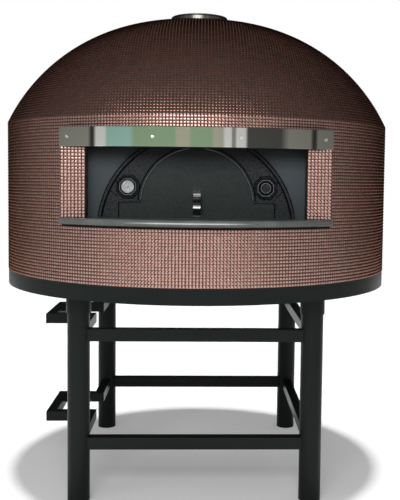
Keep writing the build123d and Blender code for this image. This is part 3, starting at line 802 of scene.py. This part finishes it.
# %% Bands for the arch
plate_low = Vector(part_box("front_plate")[0])
boss_low = Vector(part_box("badge_boss")[0])
hearth_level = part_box("hearth_shelf")[1][2]
door_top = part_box("door_panel")[1][2]
rib_width = 0.008
rib_height = 0.008
rib_gap = 0.003
arch_thickness = 0.010
arch_radius = 0.357
arch_centre = Vector((0, 0, hearth_level - 0.049))
door_arch_radius = 0.199
door_arch_centre = Vector((0, 0, door_top - door_arch_radius))
rib_inner = door_arch_radius + rib_gap
arch_face_y = plate_low.y - arch_thickness
rib_face_y = arch_face_y - rib_height
boss_recess = 0.004
recess_face_y = boss_low.y + boss_recess
band_foot = hearth_level + 0.001
band_top = lintel_base - 0.001
arc_steps = 40
round_steps = 48


def lay_bar(bm, centre, face, radii, rise, start, sweep, steps):
    """Band of rectangular section, spun round an upright centre from an angle off vertical."""
    inner, outer = radii
    lean = Matrix.Rotation(start, 3, "Y")
    section = ((inner, face), (outer, face), (outer, face - rise), (inner, face - rise))
    corners = [
        Vector((centre.x, depth, centre.z)) + lean @ Vector((0, 0, radius))
        for radius, depth in section
    ]
    spin_section(bm, corners, Vector((centre.x, 0, centre.z)), (0, 1, 0), sweep, steps)


def lay_arc(bm, centre, face, radii, rise, foot, top):
    """A pair of mirrored arcs that run from a foot height up to a top height."""
    start = math.acos(min(1, (top - centre.z) / radii[1]))
    end = math.acos((foot - centre.z) / radii[1])
    for first in (start, -end):
        lay_bar(bm, centre, face, radii, rise, first, end - start, arc_steps)


def lay_circle(bm, centre, face, radii, rise):
    """Round ring, given by two radii."""
    lay_bar(bm, centre, face, radii, rise, 0, 2 * math.pi, round_steps)


def lay_octagon(bm, centre, face, half_widths, rise):
    """Eight-sided ring with a flat at the top, given by two half widths across flats."""
    corner = math.pi / 8
    radii = [half / math.cos(corner) for half in half_widths]
    lay_bar(bm, centre, face, radii, rise, corner, 2 * math.pi, 8)


def lay_box(bm, middle, size, turn=0):
    """Box about a middle, turned in the upright plane."""
    place = Matrix.Translation(middle) @ Matrix.Rotation(turn, 4, "Y")
    bmesh.ops.create_cube(bm, size=1.0, matrix=place @ Matrix.Diagonal((*size, 1)))


boss_centres = {}
for node in ("thermometer_boss", "badge_boss"):
    low, high = (Vector(corner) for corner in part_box(node))
    boss_centres[node] = (low + high) / 2
print("bosses at x", [round(centre.x, 4) for centre in boss_centres.values()])

# %% [markdown]
# The painted shadow lies on both sides of the outer rib, outside the inner rib, round each boss's
# foot, and in the corners of its recess. A short line runs on from the inner rib's end to the
# boss.

# %% Painted shadow in the corners
shadow_rise = 0.0004
thin_rise = 0.0003
line_width = 0.0028
line_thickness = 0.0002
outside_rib = (arch_radius, arch_radius + 0.0055)
inside_rib = (arch_radius - rib_width - 0.006, arch_radius - rib_width)
beside_inner_rib = (rib_inner + rib_width, rib_inner + rib_width + 0.005)
inner_rib_foot = door_arch_centre.z + 0.015
boss_foot = (0.0402, 0.0430)
recess_edge = (0.0302, 0.0338)
recess_middle = (0.0250, 0.0268)
rosette_floor = (0.0194, 0.0250)
line_ends = ((0.0636, -0.0144), (0.0360, -0.0340))

bm = bmesh.new()
lay_arc(bm, arch_centre, plate_low.y, outside_rib, shadow_rise, band_foot, band_top)
lay_arc(bm, arch_centre, arch_face_y, inside_rib, shadow_rise, band_foot, band_top)
lay_arc(bm, door_arch_centre, arch_face_y, beside_inner_rib, shadow_rise, inner_rib_foot, band_top)
for node, centre in boss_centres.items():
    lay_octagon(bm, centre, arch_face_y, boss_foot, thin_rise)
    lay_octagon(bm, centre, recess_face_y, recess_edge, shadow_rise)
    lay_octagon(bm, centre, recess_face_y, recess_middle, shadow_rise)
    if node == "badge_boss":
        lay_circle(bm, centre, recess_face_y, rosette_floor, thin_rise)
    side = math.copysign(1, centre.x)
    rib_end, boss_end = (
        Vector((centre.x + side * x, arch_face_y, centre.z + z)) for x, z in line_ends
    )
    run = boss_end - rib_end
    middle = (rib_end + boss_end) / 2 + Vector((0, -line_thickness / 2, 0))
    size = (run.length, line_thickness, line_width)
    lay_box(bm, middle, size, math.atan2(-run.z, run.x))
settle(bm)
bmesh.ops.recalc_face_normals(bm, faces=bm.faces)
# Painted shadow for the corners beside the ribs and bosses, and for the door's edges.
painted_shadow = finish(
    "painted_shadow", (0.0012, 0.0012, 0.0012), (0.0030, 0.0030, 0.0030),
    patch=60.0, rough=(0.6, 0.8), grain=600.0, depth=0.00003, Specular_IOR_Level=0.05,
)
piece_from(bm, "arch_lines", "oven", "arch_iron", (painted_shadow,))

# %% [markdown]
# The pale crests, wear and painted highlight both, lie on the inner rib's edge towards the door,
# on the rim of each boss and on the ring inside its recess. The right boss has one more, on the
# rim of its rosette.

# %% Pale crests
crest_rise = 0.0002
crest_width = 0.0020
crest_foot = door_arch_centre.z + 0.016
ring_rise = 0.0025
boss_rim = (0.0355, 0.0385)
ring_crest = (0.0272, 0.0298)
rosette_rim = (0.0163, 0.0188)

bm = bmesh.new()
crest = (rib_inner, rib_inner + crest_width)
lay_arc(bm, door_arch_centre, rib_face_y, crest, crest_rise, crest_foot, band_top)
for node, centre in boss_centres.items():
    lay_octagon(bm, centre, boss_low.y + crest_rise, boss_rim, crest_rise)
    lay_octagon(bm, centre, recess_face_y - ring_rise, ring_crest, crest_rise)
    if node == "badge_boss":
        lay_circle(bm, centre, recess_face_y - ring_rise, rosette_rim, crest_rise)
settle(bm)
bmesh.ops.recalc_face_normals(bm, faces=bm.faces)
# Pale bands on the crests: wear and a painted highlight.
crest_highlight = finish(
    "pale crest highlight", (0.100, 0.112, 0.118), (0.140, 0.154, 0.161),
    patch=60.0, rough=(0.4, 0.5), grain=600.0, depth=0.00003, Specular_IOR_Level=0.15,
)
piece_from(bm, "arch_crests", "oven", "arch_iron", (crest_highlight,))

# %% [markdown]
# The door has a low wing on each side. A painted shadow, a dark line down its edge and another
# along its top, sets it off from the arch. They ride with the door. The handle is a strap bent in
# waves, and two bright bands on it are painted highlights on its bends.

# %% Door lines, grip and handle
wing_height = 0.055
wing_middle_x = 0.241
upright_inset = 0.0022
level_drop = 0.0015
upright_width = 0.0040
level_size = (0.0780, line_thickness, 0.0022)

door_low, door_high = (Vector(corner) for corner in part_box("door_panel"))
wing_top = door_low.z + wing_height
line_y = door_low.y - line_thickness / 2
# Painted shadow along the door's edge and the top of its wing.
bm = bmesh.new()
for side in (-1, 1):
    upright = Vector((side * (door_high.x - upright_inset), line_y, (door_low.z + wing_top) / 2))
    upright_size = (upright_width, line_thickness, wing_top - door_low.z - 0.001)
    level = Vector((side * wing_middle_x, line_y, wing_top - level_drop))
    lay_box(bm, upright, upright_size)
    lay_box(bm, level, level_size)
piece_from(bm, "door_edges", "door", "door_steel", (painted_shadow,))

grip_black = finish(
    "grip black", (0.008, 0.008, 0.008), (0.014, 0.014, 0.014),
    patch=40.0, rough=(0.3, 0.4), grain=700.0, depth=0.00005,
)
dress(grip_black, "grip_plate", "grip_rivets")
strap_low, strap_high = (Vector(corner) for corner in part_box("door_handle"))
# The two pale stops are painted highlights on the strap's bends; the rest is its dark finish.
strap_painted_light = (
    (0.00, (0.040, 0.042, 0.043)),
    (0.30, (0.050, 0.052, 0.053)),
    (0.33, (0.850, 0.850, 0.840)),
    (0.42, (0.850, 0.850, 0.840)),
    (0.45, (0.010, 0.010, 0.011)),
    (0.71, (0.010, 0.010, 0.011)),
    (0.73, (0.900, 0.900, 0.890)),
    (0.81, (0.900, 0.900, 0.890)),
    (0.83, (0.008, 0.008, 0.008)),
    (1.00, (0.008, 0.008, 0.008)),
)
strap_steel, tree, shader = blank("strap steel", Metallic=0.5, Roughness=0.35)
up = along(tree, "Z", strap_low.z, strap_high.z)
tree.links.new(ramp(tree, up, strap_painted_light), shader.inputs["Base Color"])
raise_grain(tree, shader, noise(tree, 500.0), 0.00002)
dress(strap_steel, "door_handle")

# %% [markdown]
# The thermometer has a black case, a white dial and a thin black needle. Marks and numbers are
# thin plates that lie on the dial, so that they are still there when the finish is changed, and
# they are grey, so that the needle stands out from them. The text
# is made a mesh before its place is applied, because a font's own outline can't be moved point by
# point.

# %% Thermometer
case_black = finish(
    "case black", (0.010, 0.010, 0.011), (0.018, 0.018, 0.019),
    patch=60.0, rough=(0.2, 0.3), grain=800.0, depth=0.00003,
)
dial_white = finish(
    "dial white", (0.62, 0.64, 0.66), (0.72, 0.74, 0.76),
    patch=90.0, rough=(0.5, 0.6), grain=900.0, depth=0.00002,
)
needle_black = finish(
    "needle black", (0.008, 0.008, 0.009), (0.016, 0.016, 0.017),
    patch=200.0, rough=(0.4, 0.5), grain=900.0, depth=0.00002,
)
stem_steel = finish(
    "stem steel", (0.35, 0.35, 0.34), (0.48, 0.48, 0.47),
    patch=60.0, rough=(0.3, 0.4), grain=600.0, depth=0.00004, Metallic=1.0,
)
dial_glass = finish(
    "dial glass", (0.94, 0.96, 0.97), (0.98, 0.99, 0.99),
    patch=50.0, rough=(0.03, 0.06), grain=300.0, depth=0.000005, Transmission_Weight=1.0, IOR=1.45,
)
mark_grey = finish(
    "mark grey", (0.28, 0.29, 0.30), (0.36, 0.37, 0.38),
    patch=200.0, rough=(0.5, 0.6), grain=900.0, depth=0.00001,
)
dress(case_black, "thermometer_case")
dress(dial_white, "thermometer_dial")
dress(needle_black, "thermometer_needle")
dress(stem_steel, "thermometer_stem")
dress(dial_glass, "thermometer_glass")

dial_low, dial_high = (Vector(corner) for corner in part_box("thermometer_dial"))
dial_centre = Vector(((dial_low.x + dial_high.x) / 2, dial_low.y, (dial_low.z + dial_high.z) / 2))
dial_radius = (dial_high.x - dial_low.x) / 2
mark_count = 21
mark_sweep = math.radians(270)
mark_thickness = 0.0002
long_mark = (0.0007, 0.0036)
short_mark = (0.0004, 0.0022)
mark_rim = 0.92
marks_per_number = 4
degrees_per_mark = 25
number_height = 0.0045
number_ring = 0.62
facing = Matrix.Rotation(math.pi / 2, 4, "X")


def dial_turn(number):
    """Angle of a mark, clockwise from straight up."""
    return mark_sweep * (number / (mark_count - 1) - 0.5)


bm = bmesh.new()
for number in range(mark_count):
    width, length = short_mark if number % marks_per_number else long_mark
    size = Vector((width, mark_thickness, length))
    rim = dial_radius * mark_rim - size.z / 2
    place = (
        Matrix.Translation(dial_centre)
        @ Matrix.Rotation(dial_turn(number), 4, "Y")
        @ Matrix.Translation((0, -mark_thickness / 2, rim))
        @ Matrix.Diagonal((*size, 1))
    )
    bmesh.ops.create_cube(bm, size=1.0, matrix=place)
piece_from(bm, "dial_marks", "oven", "needle_black", (mark_grey,))

for number in range(0, mark_count, marks_per_number):
    curve = bpy.data.curves.new("number", "FONT")
    curve.body = str(number * degrees_per_mark)
    curve.size = number_height
    curve.align_x = "CENTER"
    curve.align_y = "CENTER"
    curve.extrude = mark_thickness / 2
    text = bpy.data.objects.new("number", curve)
    bpy.context.scene.collection.objects.link(text)
    bpy.context.view_layer.update()
    mesh = bpy.data.meshes.new_from_object(text)
    bpy.data.objects.remove(text)
    turn = dial_turn(number)
    out = dial_radius * number_ring
    place = Matrix.Translation(
        dial_centre + Vector((out * math.sin(turn), -mark_thickness / 2, out * math.cos(turn)))
    )
    bm = bmesh.new()
    bm.from_mesh(mesh)
    bmesh.ops.transform(bm, matrix=place @ facing, verts=bm.verts)
    number_name = f"dial_number_{number * degrees_per_mark}"
    piece_from(bm, number_name, "oven", "needle_black", (mark_grey,))

# %% [markdown]
# The flue ends in a short polished collar, and the parts inside are dressed as plainly as they
# are in a real oven: grey flue steel, a cream refractory for the chamber, warmer firebrick for
# the floor, a pale board under it, white fibre round it and a rendered shell under the tiles.

# %% Flue and the inside
collar_steel = finish(
    "collar steel", (0.10, 0.10, 0.08), (0.26, 0.26, 0.23),
    patch=24.0, rough=(0.22, 0.36), grain=500.0, depth=0.00004, stretch=(1, 1, 0.1), Metallic=1.0,
)
flue_steel = finish(
    "flue steel", (0.16, 0.15, 0.14), (0.30, 0.29, 0.27),
    patch=18.0, rough=(0.4, 0.55), grain=400.0, depth=0.00006, Metallic=1.0,
)
refractory = finish(
    "refractory", (0.36, 0.29, 0.21), (0.52, 0.44, 0.33),
    patch=11.0, rough=(0.8, 0.95), grain=160.0, depth=0.0006,
)
firebrick = finish(
    "firebrick", (0.42, 0.27, 0.17), (0.58, 0.42, 0.28),
    patch=17.0, rough=(0.8, 0.95), grain=240.0, depth=0.0005,
)
board = finish(
    "slab board", (0.50, 0.47, 0.42), (0.60, 0.57, 0.52),
    patch=8.0, rough=(0.85, 0.95), grain=200.0, depth=0.0005,
)
fibre = finish(
    "fibre blanket", (0.70, 0.69, 0.66), (0.80, 0.79, 0.76),
    patch=40.0, rough=(0.9, 1.0), grain=320.0, depth=0.0012,
)
render = finish(
    "shell render", (0.22, 0.20, 0.18), (0.30, 0.28, 0.25),
    patch=12.0, rough=(0.85, 0.95), grain=300.0, depth=0.0005,
)
dress(collar_steel, "flue_collar")
dress(flue_steel, "flue_pipe")
dress(refractory, "oven_chamber", "mouth_vault")
dress(firebrick, "hearth_tiles")
dress(board, "base_slab")
dress(fibre, "dome_insulation")
dress(render, "drum_shell", "dome_shell")

# %% [markdown]
# The floor is a plain pale sheet. To the camera, and in reflections, it glows a little by its own
# colour, so that it meets the white backdrop without a line, and it still takes the shadow of the
# drum.

# %% Floor
floor_reach = 6.0
floor_glow = 0.155


def seen_or_mirrored(tree):
    """One for camera, glossy and transmission rays, and zero for the rays that only light."""
    path = tree.nodes.new("ShaderNodeLightPath")
    either = tree.nodes.new("ShaderNodeMath")
    either.operation = "ADD"
    both = tree.nodes.new("ShaderNodeMath")
    both.operation = "ADD"
    both.use_clamp = True
    tree.links.new(path.outputs["Is Camera Ray"], either.inputs[0])
    tree.links.new(path.outputs["Is Glossy Ray"], either.inputs[1])
    tree.links.new(either.outputs[0], both.inputs[0])
    tree.links.new(path.outputs["Is Transmission Ray"], both.inputs[1])
    return both.outputs[0]


bm = bmesh.new()
bmesh.ops.create_grid(bm, x_segments=1, y_segments=1, size=floor_reach)
mesh = bpy.data.meshes.new("floor")
bm.to_mesh(mesh)
bm.free()
floor = bpy.data.objects.new("floor", mesh)
bpy.context.scene.collection.objects.link(floor)
floor_paint, tree, shader = blank(
    "floor paint",
    Base_Color=(0.9, 0.9, 0.9, 1),
    Roughness=1.0,
    Specular_IOR_Level=0.0,
    Emission_Color=(1, 1, 1, 1),
)
glow = tree.nodes.new("ShaderNodeMath")
glow.operation = "MULTIPLY"
glow.inputs[1].default_value = floor_glow
tree.links.new(seen_or_mirrored(tree), glow.inputs[0])
tree.links.new(glow.outputs[0], shader.inputs["Emission Strength"])
mesh.materials.append(floor_paint)
print("floor half width", floor_reach, "m")

# %% [markdown]
# The camera sees a white world, and where it only lights the object it has a plain low level. In
# reflections it is a studio: brightest a little below the horizon, dimmer overhead, and fading
# from its front, where the camera stands, to its back. The metal-backed tiles mirror that, so
# they are bright towards the viewer and darken round the sides and over the dome.

# %% World
ambient = 0.25
studio_front = (-0.17, -0.985, 0)
back_edge = -0.5
back_level = 0.06
height_levels = (
    (0.30, 0.25),
    (0.40, 1),
    (0.46, 1),
    (0.515, 0.72),
    (0.56, 0.50),
    (0.70, 0.33),
    (0.90, 0.30),
)

world = bpy.data.worlds.new("studio")
world.use_nodes = True
bpy.context.scene.world = world
tree = world.node_tree
background = tree.nodes["Background"]
place = tree.nodes.new("ShaderNodeTexCoord")
parts = tree.nodes.new("ShaderNodeSeparateXYZ")
tree.links.new(place.outputs["Generated"], parts.inputs["Vector"])
half = tree.nodes.new("ShaderNodeMapRange")
half.inputs["From Min"].default_value = -1.0
tree.links.new(parts.outputs["Z"], half.inputs["Value"])
facing_front = tree.nodes.new("ShaderNodeVectorMath")
facing_front.operation = "DOT_PRODUCT"
facing_front.inputs[1].default_value = studio_front
tree.links.new(place.outputs["Generated"], facing_front.inputs[0])
front = tree.nodes.new("ShaderNodeMapRange")
front.inputs["From Min"].default_value = back_edge
front.inputs["To Min"].default_value = back_level
tree.links.new(facing_front.outputs["Value"], front.inputs["Value"])
height = grey_ramp(tree, half.outputs["Result"], height_levels)
path = tree.nodes.new("ShaderNodeLightPath")
studio = multiplied(tree, height, front.outputs["Result"])
seen = faded(tree, path.outputs["Is Camera Ray"], studio, (1, 1, 1))
level = tree.nodes.new("ShaderNodeMix")
level.data_type = "RGBA"
tree.links.new(seen_or_mirrored(tree), level.inputs["Factor"])
level.inputs["A"].default_value = (ambient, ambient, ambient, 1)
tree.links.new(seen, level.inputs["B"])
tree.links.new(level.outputs["Result"], background.inputs["Color"])
print("world nodes", len(tree.nodes))

# %% [markdown]
# A broad soft lamp in front and a little above the camera does most of the work: it fills each
# tile that faces the viewer with a glint and lets the sides fall away. A weaker one to its left
# lights the stone and the paint from the side, and a wide sun from overhead shades the floor under
# the drum. Both are kept out of the reflections, where they would leave stray glints on the tiles.

# %% Lamps
key_place = Vector((-0.5, -4.4, 2.6))
key_aim = Vector((0, -0.4, 1.2))
key_size = Vector((2.6, 1.5))
key_power = 84.0
side_place = Vector((-3.4, -3.4, 2.9))
side_power = 18.0
overhead_level = 0.85
overhead_spread = math.radians(6)
overhead_place = Vector((0, 0, 6))
overhead_aim = Vector((0, 0.001, 0))


def lamp(name, kind, place, aim):
    """A lamp that looks from one point to another."""
    holder = bpy.data.objects.new(name, bpy.data.lights.new(name, kind))
    bpy.context.scene.collection.objects.link(holder)
    holder.location = place
    holder.rotation_euler = (aim - place).to_track_quat("-Z", "Y").to_euler()
    return holder


for name, place, power in (("key", key_place, key_power), ("side", side_place, side_power)):
    box = lamp(name, "AREA", place, key_aim)
    box.data.shape = "RECTANGLE"
    box.data.size, box.data.size_y = key_size
    box.data.energy = power
    box.visible_glossy = name == "key"
overhead = lamp("overhead", "SUN", overhead_place, overhead_aim)
overhead.data.energy = overhead_level * math.pi
overhead.data.angle = overhead_spread
overhead.visible_glossy = False
print("lamps", [data.name for data in bpy.data.lights])

bpy.context.scene.view_settings.view_transform = "Standard"
